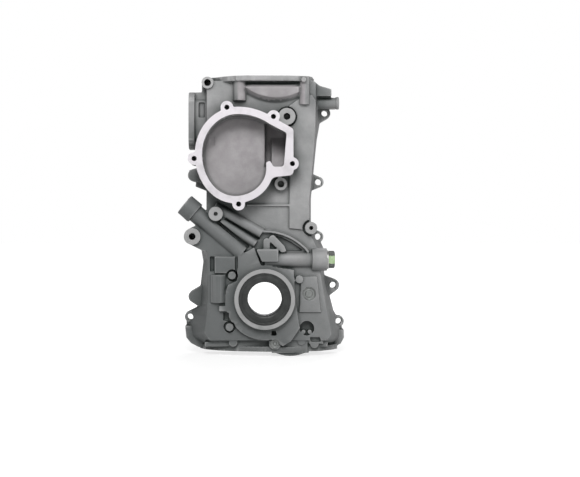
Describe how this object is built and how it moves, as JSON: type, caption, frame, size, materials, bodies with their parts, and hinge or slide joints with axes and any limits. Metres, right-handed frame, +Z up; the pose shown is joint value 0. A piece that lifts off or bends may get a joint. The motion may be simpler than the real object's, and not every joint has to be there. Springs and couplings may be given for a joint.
{
  "type": "engine oil pump",
  "caption": "Die-cast engine front cover with a built-in crank-driven gerotor oil pump, relief valve, crank seal, water pump volute and side ports.",
  "frame": {"origin": "where the crankshaft axis meets the cover's rear mating face", "axes": "+Z up towards the cylinder head, -Y out of the engine's front, +Y towards the block, +X to the right seen from the front"},
  "size_m": [0.1684, 0.065, 0.2785],
  "materials": {
    "cast_aluminium": "as cast, dull",
    "bright_steel": "ground",
    "sintered_steel": "sintered, oiled",
    "spring_steel": "drawn wire",
    "screw_steel": "phosphated",
    "plug_steel": "pressed",
    "green_plating": "pale green plating",
    "washer_metal": "soft, matte",
    "seal_rubber": "matte black"
  },
  "bodies": {
    "housing": {"coolant_port_seal": "seal_rubber", "crank_seal_case": "bright_steel", "crank_seal_lip": "seal_rubber", "crank_seal_spring": "spring_steel", "front_cover": "cast_aluminium", "gallery_cup_plug": "plug_steel", "lower_dowel": "bright_steel", "pump_cover": "bright_steel", "pump_cover_screw_1": "screw_steel", "pump_cover_screw_2": "screw_steel", "pump_cover_screw_3": "screw_steel", "pump_cover_screw_4": "screw_steel", "pump_cover_screw_5": "screw_steel", "pump_cover_screw_6": "screw_steel", "pump_cover_screw_7": "screw_steel", "pump_cover_screw_8": "screw_steel", "relief_plug": "green_plating", "relief_plug_washer": "washer_metal", "relief_spring": "spring_steel", "suction_cup_plug": "plug_steel", "upper_dowel": "bright_steel"},
    "outer_rotor": {"outer_rotor": "sintered_steel"},
    "inner_rotor": {"inner_rotor": "sintered_steel"},
    "relief_valve": {"relief_valve": "bright_steel"}
  },
  "joints": [
    {"name": "outer_rotor_spin", "type": "hinge", "parent": "housing", "child": "outer_rotor", "pos_m": [0, -0.02204, -0.0026], "axis": [0, 1, 0], "continuous": true},
    {"name": "inner_rotor_spin", "type": "hinge", "parent": "housing", "child": "inner_rotor", "pos_m": [0, -0.02204, 0], "axis": [0, 1, 0], "continuous": true},
    {"name": "relief_valve_slide", "type": "slide", "parent": "housing", "child": "relief_valve", "axis": [1, 0, 0], "range_m": [0, 0.009], "stiffness_N_per_m": 2500, "springref_m": -0.012, "deforming": ["relief_spring"]}
  ],
  "couplings": [
    {"joint": "inner_rotor_spin", "follows": "outer_rotor_spin", "ratio": 1.125}
  ]
}
